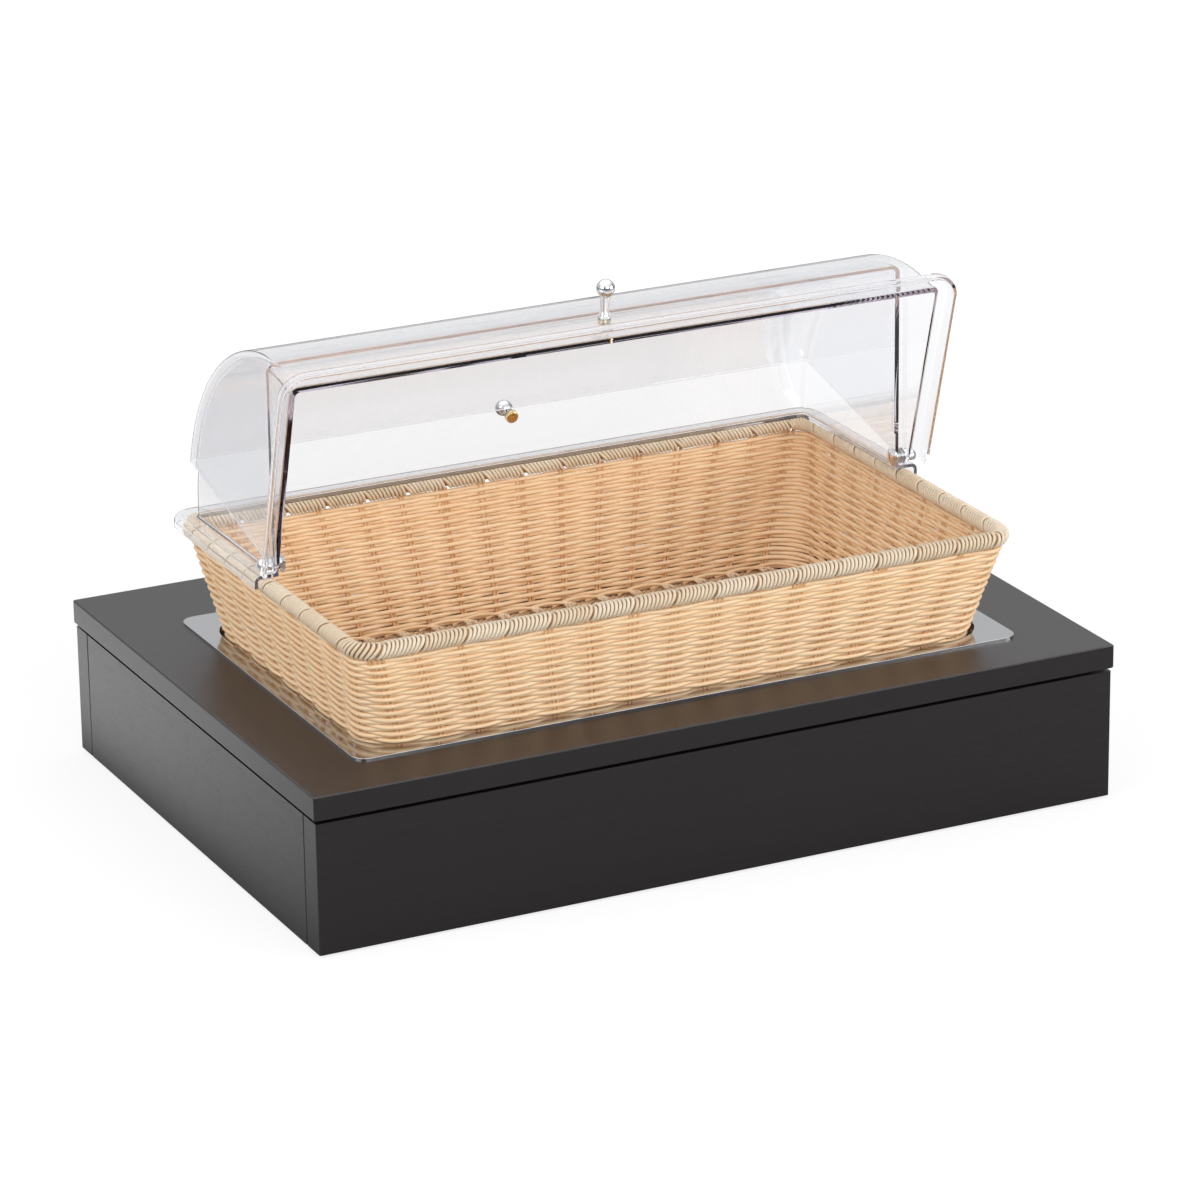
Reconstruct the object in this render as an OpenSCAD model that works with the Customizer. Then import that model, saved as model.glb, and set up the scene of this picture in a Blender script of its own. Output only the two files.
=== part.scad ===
// Buffet bread display: a dark wooden box with a sheet steel insert, a woven
// basket of standard 1/1 buffet size standing in it, and a clear roll-top cover
// that sits on the basket rim. The cover is a fixed rear shell and a front flap
// that rolls back over it on two hinge screws.
// Origin: on the table, under the middle of the box. X is the width, Y points
// to the back, Z up. The flap is drawn open, as it rests on the stop knob.

/* [Wooden box] */
// Width of the top board
box_w = 636; // [600:1:780]
// Depth of the top board
box_d = 452; // [420:1:560]
// Height of the top board's upper face above the table
box_h = 120; // [94:1:180]
// Thickness of the top board
board_t = 18; // [12:1:30]
// Thickness of the four box panels
panel_t = 22; // [16:1:28]
// How far the top board reaches past the box panels
board_overhang = 1.5; // [0:0.5:6]
// Height of the shadow gap between the panels and the top board
shadow_gap = 2.5; // [1:0.5:8]
// Edge rounding of the boards
wood_round = 1.2; // [0.5:0.1:3]
// Width and height of the support battens
batten = 20; // [14:1:26]
// Side of the corner blocks
block = 34; // [24:1:50]
// Diameter of a foot pad
foot_dia = 26; // [16:1:32]
// Height of a foot pad
foot_h = 2; // [1:0.5:8]

/* [Steel insert] */
// Width of the insert over its flange
insert_w = 530; // [500:1:560]
// Depth of the insert over its flange
insert_d = 325; // [300:1:350]
// How far the middle of the insert lies behind the middle of the box
bay_y = -17; // [-30:1:0]
// Sheet thickness
sheet_t = 1; // [0.6:0.1:1.6]
// From the flange's edge to the inside of the well
flange_w = 13.5; // [11:0.5:20]
// Depth of the well below the flange
well_depth = 37; // [14:1:60]
// Outer corner radius of the flange
insert_corner = 11; // [4:1:20]
// Inner corner radius of the well
well_corner = 14; // [8:1:24]
// Radius of the rolled edge
bend_r = 5; // [3:0.5:6]

/* [Basket] */
// Width over the rim
basket_w = 530; // [500:1:560]
// Depth over the rim
basket_d = 325; // [300:1:350]
// Height of the basket
basket_h = 119; // [80:1:150]
// Diameter of the wrapped rim
rim_dia = 13; // [10:0.5:16]
// Diameter of the rim's core rod
core_dia = 7; // [4:0.5:9]
// Corner radius of the rim's centre line
rim_corner = 16; // [12:1:30]
// How far the foot of each wall stands in from the rim's edge
wall_slope_in = 24.5; // [18:0.5:30]
// Thickness of the woven wall
weave_t = 5; // [4:0.5:8]
// Outer corner radius at the foot of the walls
foot_corner = 38; // [20:1:44]
// Diameter of the hoop round the floor
hoop_dia = 5; // [4:0.5:8]

/* [Cover] */
// Wall thickness of the clear mouldings
clear_t = 2.6; // [2:0.1:4]
// Outer radius of the fixed rear shell
shell_r = 147.5; // [130:0.5:150]
// Height of the hinge axis above the top of the rim
axis_above_rim = 10.7; // [9.5:0.1:20]
// Rounding between the roof and the end walls, outside
shell_round = 6; // [4:0.5:12]
// Side gap between the shell's end walls and the flap's
side_gap = 1.6; // [1:0.1:3]
// Gap between the shell's roof and the flap's
roof_gap = 2.7; // [1.5:0.1:4]
// How far the cover's lips stand clear of the basket rim
lip_clear = 2.4; // [1.5:0.1:4]
// How far the shell's end walls stand in from the edge of the basket rim
shell_in = 11; // [10:0.5:14]
// Height of the turned-down lip
lip_h = 9.2; // [7:0.1:12]
// Outer radius of the bend from flange to lip
lip_round = 5; // [3.5:0.1:6]
// Outer corner radius of the flange
lip_corner = 20; // [16:1:24]
// Width of the stiffening bead on the shell's front edge
bead_w = 3; // [2:0.5:5]
// How far the bead stands in from the wall
bead_t = 1.5; // [1:0.1:3]
// Angle by which the flap's rear edge laps over the top of the closed shell
flap_lap = 2.4; // [0:0.1:5]
// Angle by which the flap is open when its rear edge rests on the stop knob
open_angle = 74; // [60:1:76]

/* [Hinge and knobs] */
// Diameter of the hinge screw
pin_dia = 5; // [4:0.5:6]
// Radial clearance of the hinge screw in its holes
pin_clear = 0.05; // [0.02:0.01:0.1]
// Diameter of the hinge screw's domed head
hinge_head_dia = 15; // [12:0.5:16]
// Radius of the rounded lug that carries the hinge hole in the flap
lug_r = 7.3; // [6:0.1:7.5]
// Diameter of the hinge cap nut
cap_dia = 10; // [8:0.5:12]
// Length of the hinge cap nut
cap_l = 9.5; // [8:0.5:12]
// Diameter of the handle knob's ball
ball_dia = 13.6; // [11:0.2:16]
// Height of the handle knob
knob_h = 29; // [26:0.5:36]
// Angle of the handle knob above the flap's lower edge when the flap is shut
knob_angle = 8.5; // [8:0.5:20]
// Diameter of the stop knob's ball
stop_ball_dia = 13; // [11:0.5:14]
// Diameter of the stop knob's neck, on which the flap's rear edge rests
stop_neck_dia = 6; // [5:0.5:7]
// Diameter of the knob screws
screw_dia = 4; // [3:0.5:4.5]
// Running gap left where pieces of different bodies face each other
seat_gap = 0.3; // [0.2:0.05:0.5]

/* [Hidden] */
$fn = 64;
eps = 0.01;
// Small gap between flat faces inside one body, such as washers and nuts
face_gap = 0.02;

// Heights in the box
board_z = box_h - board_t;
panel_top = board_z - shadow_gap;
panel_h = panel_top - foot_h;
panel_w = box_w - 2 * board_overhang;
panel_d = box_d - 2 * board_overhang;
inner_w = panel_w - 2 * panel_t;
inner_d = panel_d - 2 * panel_t;
batten_z = board_z - batten;

// Steel insert
well_half_w = insert_w / 2 - flange_w;
well_half_d = insert_d / 2 - flange_w;
cutout_clear = 0.5;
cutout_half_w = well_half_w + bend_r + cutout_clear;
cutout_half_d = well_half_d + bend_r + cutout_clear;
cutout_corner = well_corner + bend_r + cutout_clear;
flange_top = box_h + sheet_t;
well_floor = flange_top - well_depth;
floor_bend = 6;

// Basket
basket_z = well_floor + seat_gap;
rim_top = basket_z + basket_h;
rim_z = rim_top - rim_dia / 2;
rim_half_w = basket_w / 2 - rim_dia / 2;
rim_half_d = basket_d / 2 - rim_dia / 2;
foot_half_w = basket_w / 2 - wall_slope_in;
foot_half_d = basket_d / 2 - wall_slope_in;
wall_top = rim_top - rim_dia - 0.1;
wall_foot = basket_z + hoop_dia + 0.1;

// Cover. The hinge axis runs along X above the middle of the basket.
axis_z = rim_top + axis_above_rim;
flange_under = -axis_above_rim + seat_gap;
flange_over = flange_under + clear_t;
shell_half = basket_w / 2 - shell_in;
flap_in = shell_half + side_gap;
flap_half = flap_in + clear_t;
flap_r = shell_r + roof_gap + clear_t;
lip_half_w = basket_w / 2 + lip_clear + clear_t;
lip_half_d = basket_d / 2 + lip_clear + clear_t;
flap_gap = 1;
// Height above the axis at which the bead starts, and the fillet at the wall's foot
bead_from = 18;
blend = 2;
// Width of the strip in which the flange and its lip are joined
lip_w = 2 * lip_round;

// Hinge, as distances along X from the middle of the cover
pin_bore = pin_dia + 2 * pin_clear;
spacer_l = 2.4;
spacer_dia = 9;
head_t = 2.6;
head_x = shell_half - clear_t - spacer_l;
washer_dia = 11;
washer_l = side_gap - 0.1;
cap_x = flap_half + 0.1;
cap_washer_l = 0.8;
cap_washer_dia = 12;

// Knobs
screw_head_dia = 9.6;
screw_head_h = 3;
knob_washer_t = 1.2;
knob_washer_dia = 10;
wall_hole = screw_dia + 0.4;
knob_bore = screw_dia + 0.1;
knob_bore_depth = 9;
stop_ball_out = stop_ball_dia / 2 + 5;
// Where the flap's rear edge rests on the neck of the stop knob
rear_edge_open = 90 - flap_lap - open_angle;
flap_mid_r = flap_r - clear_t / 2;
stop_angle = rear_edge_open - asin((stop_neck_dia / 2 + seat_gap) / flap_mid_r);

wood = [0.16, 0.125, 0.115];
steel = [0.74, 0.75, 0.76];
chrome = [0.82, 0.83, 0.85];
brass = [0.76, 0.58, 0.27];
clear = [0.84, 0.88, 0.9, 0.35];
cane = [0.9, 0.73, 0.52];
cane_rim = [0.94, 0.89, 0.8];
rubber = [0.12, 0.12, 0.12];

// ---------- shared shapes ----------

// Rectangle of the given half sizes with round corners
module round_rect(half_w, half_d, r) {
    square([2 * half_w, 2 * (half_d - r)], center = true);
    square([2 * (half_w - r), 2 * half_d], center = true);
    for (sx = [-1, 1], sy = [-1, 1])
        translate([sx * (half_w - r), sy * (half_d - r)]) circle(r);
}

// Carries a profile round the back half of a round rectangle. The profile's X
// points outward from the rectangle and its Y up; the sides start at Y = from.
module half_sweep(half_w, half_d, r, from = 0) {
    for (sx = [-1, 1]) {
        translate([sx * (half_w - r), half_d - r, 0])
            rotate([0, 0, sx > 0 ? 0 : 90])
                rotate_extrude(angle = 90)
                    translate([r, 0]) children();
        // side run, from its start to the corner
        translate([sx * half_w, sx > 0 ? half_d - r : from, 0])
            rotate([90, 0, sx > 0 ? 0 : 180])
                linear_extrude(half_d - r - from) children();
    }
    // back run
    translate([-(half_w - r), half_d, 0])
        rotate([90, 0, 90])
            linear_extrude(2 * (half_w - r)) children();
}

// Carries a profile all the way round
module full_sweep(half_w, half_d, r) {
    half_sweep(half_w, half_d, r) children();
    rotate([0, 0, 180]) half_sweep(half_w, half_d, r) children();
}

// Cutter that rounds the edge at the profile's origin, edge pointing out and up
module edge_cutter(r) {
    difference() {
        translate([-r, -r]) square([r + 1, r + 1]);
        translate([-r, -r]) circle(r);
        translate([-r - 2, -r - 2]) square([2, r + 4]);
        translate([-r - 2, -r - 2]) square([r + 4, 2]);
    }
}

// ---------- wooden box ----------

dowel_dia = 8;
dowel_l = 40;
dowel_in_front = 12;
dowel_x = panel_w / 2 - panel_t / 2;
dowel_zs = [foot_h + 0.2 * panel_h, foot_h + 0.5 * panel_h, foot_h + 0.8 * panel_h];

// Every dowel, grown all over by the given clearance
module dowels(extra = 0) {
    for (sx = [-1, 1], sy = [-1, 1], z = dowel_zs)
        translate([sx * dowel_x, sy * (inner_d / 2 + dowel_in_front + extra), z])
            rotate([sy > 0 ? 90 : -90, 0, 0])
                cylinder(d = dowel_dia + 2 * extra, h = dowel_l + 2 * extra);
}

wood_screw_dia = 4;
wood_screw_head = 8;
batten_screw_l = 35;
board_screw_l = 32;
long_screw_xs = [for (k = [-3, -1, 1, 3]) k * inner_w / 8];
side_screw_ys = [for (k = [-1, 0, 1]) k * inner_d / 3.2];
board_long_xs = [for (k = [-1, 0, 1]) k * inner_w / 4];
board_side_ys = [for (k = [-1, 1]) k * inner_d / 6.4];

// Countersunk wood screw pointing up, head face at the origin
module wood_screw(l, extra = 0) {
    rotate_extrude()
        polygon([
            [0, -extra], [wood_screw_head / 2 + extra, -extra],
            [wood_screw_dia / 2 + extra, (wood_screw_head - wood_screw_dia) / 2 + extra],
            [wood_screw_dia / 2 + extra, l - 3], [0, l + extra]
        ]);
}

// Screws that hold the battens to the panels
module batten_screw_set(extra = 0) {
    z = batten_z + batten / 2;
    for (sy = [-1, 1], x = long_screw_xs)
        translate([x, sy * (inner_d / 2 - batten), z])
            rotate([sy > 0 ? -90 : 90, 0, 0])
                wood_screw(batten_screw_l, extra);
    for (sx = [-1, 1], y = side_screw_ys)
        translate([sx * (inner_w / 2 - batten), y, z])
            rotate([0, sx > 0 ? 90 : -90, 0])
                wood_screw(batten_screw_l, extra);
}

// Screws that hold the top board down, from below through the battens
module board_screw_set(extra = 0) {
    for (sy = [-1, 1], x = board_long_xs)
        translate([x, sy * (inner_d / 2 - batten / 2), batten_z])
            wood_screw(board_screw_l, extra);
    for (sx = [-1, 1], y = board_side_ys)
        translate([sx * (inner_w / 2 - batten / 2), y, batten_z])
            wood_screw(board_screw_l, extra);
}

hole_extra = 0.05;

module long_panel(side) {
    color(wood) difference() {
        translate([0, side * (panel_d - panel_t) / 2, foot_h])
            linear_extrude(panel_h) round_rect(panel_w / 2, panel_t / 2, wood_round);
        dowels(hole_extra);
        batten_screw_set(hole_extra);
    }
}

module side_panel(side) {
    color(wood) difference() {
        translate([side * (panel_w - panel_t) / 2, 0, foot_h])
            linear_extrude(panel_h) round_rect(panel_t / 2, inner_d / 2, wood_round);
        dowels(hole_extra);
        batten_screw_set(hole_extra);
    }
}

module top_board() {
    corner = 1.5 * wood_round;
    color(wood) difference() {
        translate([0, 0, board_z])
            linear_extrude(board_t)
                difference() {
                    round_rect(box_w / 2, box_d / 2, corner);
                    translate([0, bay_y]) round_rect(cutout_half_w, cutout_half_d, cutout_corner);
                }
        translate([0, 0, box_h]) full_sweep(box_w / 2, box_d / 2, corner) edge_cutter(wood_round);
        translate([0, 0, board_z])
            full_sweep(box_w / 2, box_d / 2, corner) mirror([0, 1]) edge_cutter(wood_round);
        board_screw_set(hole_extra);
    }
}

module long_batten(side) {
    color(wood) difference() {
        translate([-inner_w / 2, side > 0 ? inner_d / 2 - batten : -inner_d / 2, batten_z])
            cube([inner_w, batten, batten]);
        batten_screw_set(hole_extra);
        board_screw_set(hole_extra);
    }
}

module side_batten(side) {
    l = inner_d - 2 * batten;
    color(wood) difference() {
        translate([side > 0 ? inner_w / 2 - batten : -inner_w / 2, -l / 2, batten_z])
            cube([batten, l, batten]);
        batten_screw_set(hole_extra);
        board_screw_set(hole_extra);
    }
}

// Upright block glued into a corner, its inner edge cut off
module corner_block(sx, sy) {
    h = batten_z - foot_h;
    color(wood)
        translate([sx * inner_w / 2, sy * inner_d / 2, foot_h])
            mirror([sx > 0 ? 1 : 0, 0, 0])
                mirror([0, sy > 0 ? 1 : 0, 0])
                    linear_extrude(h)
                        polygon([[0, 0], [block, 0], [block, block / 2], [block / 2, block], [0, block]]);
}

// Soft pad under a corner block
module foot(sx, sy) {
    soft = foot_h / 2;
    color(rubber)
        translate([sx * (inner_w / 2 - foot_dia / 2), sy * (inner_d / 2 - foot_dia / 2), 0])
            rotate_extrude() {
                square([foot_dia / 2 - soft, foot_h]);
                translate([0, soft]) square([foot_dia / 2, foot_h - soft]);
                translate([foot_dia / 2 - soft, soft]) circle(soft);
            }
}

// ---------- steel insert ----------

// Section of the drawn well: rolled edge, wall and floor bend. X = 0 is the
// inside of the wall, Y = 0 the top of the floor.
module well_section() {
    top = well_depth - bend_r;
    // rolled edge
    intersection() {
        translate([bend_r, top]) difference() {
            circle(bend_r);
            circle(bend_r - sheet_t);
        }
        translate([0, top]) square(bend_r);
    }
    // wall
    translate([0, floor_bend]) square([sheet_t, top - floor_bend]);
    // bend into the floor
    intersection() {
        translate([-floor_bend, floor_bend]) difference() {
            circle(floor_bend + sheet_t);
            circle(floor_bend);
        }
        translate([-floor_bend, -sheet_t]) square(floor_bend + sheet_t);
    }
}

module steel_insert() {
    color(steel) translate([0, bay_y, 0]) {
        translate([0, 0, box_h])
            linear_extrude(sheet_t) difference() {
                round_rect(insert_w / 2, insert_d / 2, insert_corner);
                round_rect(well_half_w + bend_r, well_half_d + bend_r, well_corner + bend_r);
            }
        translate([0, 0, well_floor])
            full_sweep(well_half_w, well_half_d, well_corner) well_section();
        translate([0, 0, well_floor - sheet_t])
            linear_extrude(sheet_t)
                round_rect(well_half_w - floor_bend, well_half_d - floor_bend, well_corner - floor_bend);
    }
}

// ---------- basket ----------

module basket_rim_core() {
    color(cane_rim) translate([0, bay_y, rim_z])
        full_sweep(rim_half_w, rim_half_d, rim_corner) circle(d = core_dia);
}

module basket_rim_wrap() {
    color(cane_rim) translate([0, bay_y, rim_z])
        full_sweep(rim_half_w, rim_half_d, rim_corner) difference() {
            circle(d = rim_dia);
            circle(d = core_dia + 0.1);
        }
}

// Slice of the basket's outside at height z, moved in by t
module basket_slice(z, t = 0) {
    k = (z - wall_foot) / (wall_top - wall_foot);
    top_half_w = rim_half_w + weave_t / 2;
    top_half_d = rim_half_d + weave_t / 2;
    translate([0, bay_y, z])
        linear_extrude(eps)
            round_rect(foot_half_w + k * (top_half_w - foot_half_w) - t,
                       foot_half_d + k * (top_half_d - foot_half_d) - t,
                       foot_corner + k * (rim_corner + weave_t / 2 - foot_corner) - t,
                       $fn = 32);
}

module basket_walls() {
    color(cane) difference() {
        hull() {
            basket_slice(wall_foot);
            basket_slice(wall_top - eps);
        }
        hull() {
            basket_slice(wall_foot - 1, weave_t);
            basket_slice(wall_top + 1, weave_t);
        }
    }
}

module basket_floor() {
    t = hoop_dia - 0.4;
    color(cane) translate([0, bay_y, basket_z])
        linear_extrude(t)
            round_rect(foot_half_w - hoop_dia - 0.1, foot_half_d - hoop_dia - 0.1,
                       foot_corner - hoop_dia - 0.1);
}

module basket_hoop() {
    color(cane) translate([0, bay_y, basket_z + hoop_dia / 2])
        full_sweep(foot_half_w - hoop_dia / 2, foot_half_d - hoop_dia / 2, foot_corner - hoop_dia / 2)
            circle(d = hoop_dia);
}

// ---------- roll-top cover ----------

// From cover coordinates, where the hinge axis is the X axis, to the table's
module at_axis() {
    translate([0, bay_y, axis_z]) children();
}

// Half section of a roll-top from the hinge axis out to radius r: X is the
// radius, Y the place along the axis
module roll_area(half, r, corner) {
    translate([0, -half]) square([r - corner, 2 * half]);
    translate([0, -half + corner]) square([r, 2 * (half - corner)]);
    for (s = [-1, 1]) translate([r - corner, s * (half - corner)]) circle(corner);
}

module roll_section(half, r) {
    difference() {
        roll_area(half, r, shell_round);
        translate([-1, 0]) roll_area(half - clear_t, r - clear_t + 1, shell_round - clear_t);
    }
}

// Turns a section about the hinge axis, from one angle to another. Angle 0
// points to the back, 90 up.
module roll(from, to) {
    rotate([90, 0, 90]) rotate([0, 0, from]) rotate_extrude(angle = to - from, $fn = 180) children();
}

// Swaps the section's axes, so that its radius points to the back
module to_plan() {
    rotate(90) mirror([0, 1]) children();
}

// Outward flange with its turned-down lip round the back half
module flange(half, r, from) {
    translate([0, 0, flange_under]) linear_extrude(clear_t) difference() {
        intersection() {
            round_rect(lip_half_w - lip_round, lip_half_d - lip_round, lip_corner - lip_round);
            translate([-lip_half_w, from]) square([2 * lip_half_w, lip_half_d]);
        }
        to_plan() translate([-1, 0]) roll_area(half - clear_t, r - clear_t + 1, shell_round - clear_t);
    }
    translate([0, 0, flange_over]) half_sweep(lip_half_w, lip_half_d, lip_corner, from) {
        difference() {
            lip_area(0, lip_round, -lip_h);
            lip_area(clear_t, lip_round - clear_t, -lip_h - 1);
        }
    }
    // hollow blend where the wall turns out into the flange
    translate([0, 0, flange_over]) half_sweep(half, r, shell_round, from) difference() {
        translate([-eps, -eps]) square(blend);
        translate([blend, blend]) circle(blend);
    }
}

// Area under and inside the flange's outer corner, down to the given height
module lip_area(inset, corner, bottom) {
    translate([-lip_w, bottom]) square([lip_w - inset - corner, -inset - bottom]);
    translate([-lip_w, bottom]) square([lip_w - inset, -inset - corner - bottom]);
    translate([-inset - corner, -inset - corner]) circle(corner);
}

// Moulded quarter shell: roof, end walls, the short straight part under the
// axis, flange and lip
module shell_body(half, r, from, to, skirt_from) {
    roll(from, to) roll_section(half, r);
    translate([0, 0, flange_under]) linear_extrude(-flange_under) intersection() {
        to_plan() roll_section(half, r);
        translate([-half, skirt_from]) square([2 * half, r]);
    }
    flange(half, r, skirt_from);
}

// Hole along X through both end walls at the hinge axis
module hinge_holes(d) {
    rotate([0, 90, 0]) cylinder(d = d, h = 2 * flap_half + 10, center = true);
}

// Puts a piece on the roof: its own Z then points out along the radius
module on_roof(angle, r) {
    rotate([angle - 90, 0, 0]) translate([0, 0, r]) children();
}

module rear_shell() {
    color(clear) at_axis() difference() {
        union() {
            shell_body(shell_half, shell_r, 0, 90, 0);
            front_bead();
        }
        hinge_holes(pin_bore);
        on_roof(stop_angle, shell_r - 10) cylinder(d = wall_hole, h = 20);
    }
}

// Stiffening bead along the shell's front edge
module front_bead() {
    out = clear_t / 2;
    in = clear_t + bead_t;
    translate([0, bead_w, 0]) rotate([90, 0, 0]) linear_extrude(bead_w) intersection() {
        difference() {
            rotate(90) roll_area(shell_half - out, shell_r - out, shell_round - out);
            rotate(90) translate([-1, 0]) roll_area(shell_half - in, shell_r - in + 1, shell_round - in);
        }
        translate([-shell_half, bead_from]) square([2 * shell_half, shell_r]);
    }
}

// The flap in its shut place, in cover coordinates
module flap_shut() {
    difference() {
        union() {
            rotate([0, 0, 180]) shell_body(flap_half, flap_r, 0, 90 + flap_lap, flap_gap);
            for (s = [-1, 1]) translate([s * (flap_half - clear_t / 2), 0, 0])
                rotate([0, 90, 0]) cylinder(r = lug_r, h = clear_t, center = true);
        }
        hinge_holes(pin_bore);
        on_roof(180 - knob_angle, flap_r - 10) cylinder(d = wall_hole, h = 20);
    }
}

// Turns what belongs to the flap into its open place
module opened() {
    at_axis() rotate([-open_angle, 0, 0]) children();
}

module front_flap() {
    color(clear) opened() flap_shut();
}

// ---------- hinge ----------

// Places a piece whose own Z points outward along the hinge axis
module on_hinge(side) {
    at_axis() rotate([0, side * 90, 0]) children();
}

module hinge_screw(side) {
    dome_r = (pow(hinge_head_dia / 2, 2) + pow(head_t, 2)) / (2 * head_t);
    color(chrome) on_hinge(side) difference() {
        union() {
            translate([0, 0, head_x - head_t]) rotate_extrude() intersection() {
                translate([0, dome_r]) circle(dome_r, $fn = 128);
                square([hinge_head_dia / 2, head_t]);
            }
            translate([0, 0, head_x - eps]) cylinder(d = pin_dia, h = cap_x + cap_l - 4 - head_x);
        }
        translate([0, 0, head_x - head_t]) cube([7, 1.2, 1.8], center = true);
    }
}

module ring_piece(d, bore, l) {
    difference() {
        cylinder(d = d, h = l);
        translate([0, 0, -1]) cylinder(d = bore, h = l + 2);
    }
}

module hinge_spacer(side) {
    color(chrome) on_hinge(side)
        translate([0, 0, head_x + face_gap]) ring_piece(spacer_dia, pin_bore, spacer_l - 2 * face_gap);
}

module hinge_washer(side) {
    color(clear) on_hinge(side)
        translate([0, 0, shell_half + face_gap]) ring_piece(washer_dia, pin_bore, washer_l - face_gap);
}

module cap_washer(side) {
    color(chrome) on_hinge(side)
        translate([0, 0, cap_x]) ring_piece(cap_washer_dia, pin_bore, cap_washer_l);
}

module cap_nut(side) {
    l = cap_l - cap_washer_l - face_gap;
    r = cap_dia / 2;
    color(chrome) on_hinge(side) translate([0, 0, cap_x + cap_washer_l + face_gap]) difference() {
        rotate_extrude() {
            square([r, l - r]);
            intersection() {
                translate([0, l - r]) circle(r);
                square([r, l]);
            }
        }
        translate([0, 0, -1]) cylinder(d = pin_bore, h = cap_l - 4 - cap_washer_l + 1.2);
    }
}

// ---------- knobs ----------

module knob_ball(d, z) {
    intersection() {
        translate([0, z]) circle(d = d, $fn = 96);
        translate([0, z - d]) square([d, 2 * d]);
    }
}

// Handle knob: base, ring, stem that widens upward, ball
module handle_knob() {
    ball_z = knob_h - ball_dia / 2;
    difference() {
        rotate_extrude() {
            square([4.5, 1.6]);
            square([3, 4]);
            translate([0, 2.4]) square([3.6, 1.2]);
            polygon([[0, 3.6], [2.8, 3.6], [4.4, ball_z - 4], [0, ball_z - 4]]);
            polygon([[0, ball_z - 4.2], [4.4, ball_z - 4.2], [4.4, ball_z - 3], [0, ball_z - 3]]);
            knob_ball(ball_dia, ball_z);
        }
        translate([0, 0, -1]) cylinder(d = knob_bore, h = knob_bore_depth + 1);
    }
}

// Stop knob: short neck and ball
module stop_knob() {
    difference() {
        rotate_extrude() {
            square([stop_neck_dia / 2, stop_ball_out]);
            knob_ball(stop_ball_dia, stop_ball_out);
        }
        translate([0, 0, -1]) cylinder(d = knob_bore, h = knob_bore_depth + 1);
    }
}

// How far a flat round face lies inside a roof of inner radius r
function sink(r, d) = r - sqrt(r * r - d * d / 4);

// Pan head screw from inside the roof, with a cross recess
module knob_screw(inner_r) {
    start = -clear_t - sink(inner_r, knob_washer_dia) - knob_washer_t - 2 * face_gap;
    soft = 1;
    difference() {
        union() {
            translate([0, 0, start]) mirror([0, 0, 1]) rotate_extrude() {
                square([screw_head_dia / 2, screw_head_h - soft]);
                square([screw_head_dia / 2 - soft, screw_head_h]);
                translate([screw_head_dia / 2 - soft, screw_head_h - soft]) circle(soft);
            }
            translate([0, 0, start - eps]) cylinder(d = screw_dia, h = knob_bore_depth - 1 - start);
        }
        for (a = [0, 90]) translate([0, 0, start - screw_head_h]) rotate([0, 0, a])
            cube([5.4, 1.1, 2.6], center = true);
    }
}

module knob_washer(inner_r) {
    start = -clear_t - sink(inner_r, knob_washer_dia) - knob_washer_t - face_gap;
    translate([0, 0, start]) ring_piece(knob_washer_dia, wall_hole, knob_washer_t);
}

module on_shell() {
    at_axis() on_roof(stop_angle, shell_r + face_gap) children();
}

module on_flap() {
    opened() on_roof(180 - knob_angle, flap_r + face_gap) children();
}

module rear_stop_knob() { color(chrome) on_shell() stop_knob(); }
module rear_knob_screw() { color(brass) on_shell() knob_screw(shell_r - clear_t); }
module rear_knob_washer() { color(clear) on_shell() knob_washer(shell_r - clear_t); }
module front_knob() { color(chrome) on_flap() handle_knob(); }
module front_knob_screw() { color(brass) on_flap() knob_screw(flap_r - clear_t); }
module front_knob_washer() { color(clear) on_flap() knob_washer(flap_r - clear_t); }

// ---------- the pieces ----------

long_panel(-1);  // front_panel
long_panel(1);  // back_panel
side_panel(-1);  // left_panel
side_panel(1);  // right_panel
top_board();
long_batten(-1);  // front_batten
long_batten(1);  // back_batten
side_batten(-1);  // left_batten
side_batten(1);  // right_batten
corner_block(-1, -1);  // corner_block_front_left
corner_block(1, -1);  // corner_block_front_right
corner_block(-1, 1);  // corner_block_back_left
corner_block(1, 1);  // corner_block_back_right
foot(-1, -1);  // foot_front_left
foot(1, -1);  // foot_front_right
foot(-1, 1);  // foot_back_left
foot(1, 1);  // foot_back_right
color(cane) dowels();  // panel_dowels
color(steel) batten_screw_set();  // batten_screws
color(steel) board_screw_set();  // board_screws
steel_insert();
basket_rim_core();
basket_rim_wrap();
basket_walls();
basket_floor();
basket_hoop();
rear_shell();
hinge_screw(-1);  // left_hinge_screw
hinge_screw(1);  // right_hinge_screw
hinge_spacer(-1);  // left_hinge_spacer
hinge_spacer(1);  // right_hinge_spacer
hinge_washer(-1);  // left_hinge_washer
hinge_washer(1);  // right_hinge_washer
cap_washer(-1);  // left_cap_washer
cap_washer(1);  // right_cap_washer
cap_nut(-1);  // left_cap_nut
cap_nut(1);  // right_cap_nut
rear_stop_knob();
rear_knob_screw();
rear_knob_washer();
front_flap();
front_knob();
front_knob_screw();
front_knob_washer();
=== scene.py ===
"""Looks of a countertop bread display bin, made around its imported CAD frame.

The basket is woven from real strands by Geometry Nodes. The wooden box, the
steel insert, the clear roll-top cover and its hardware keep their CAD shapes
and get procedural finishes. All lengths are metres in the part's own frame.
"""

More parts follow.
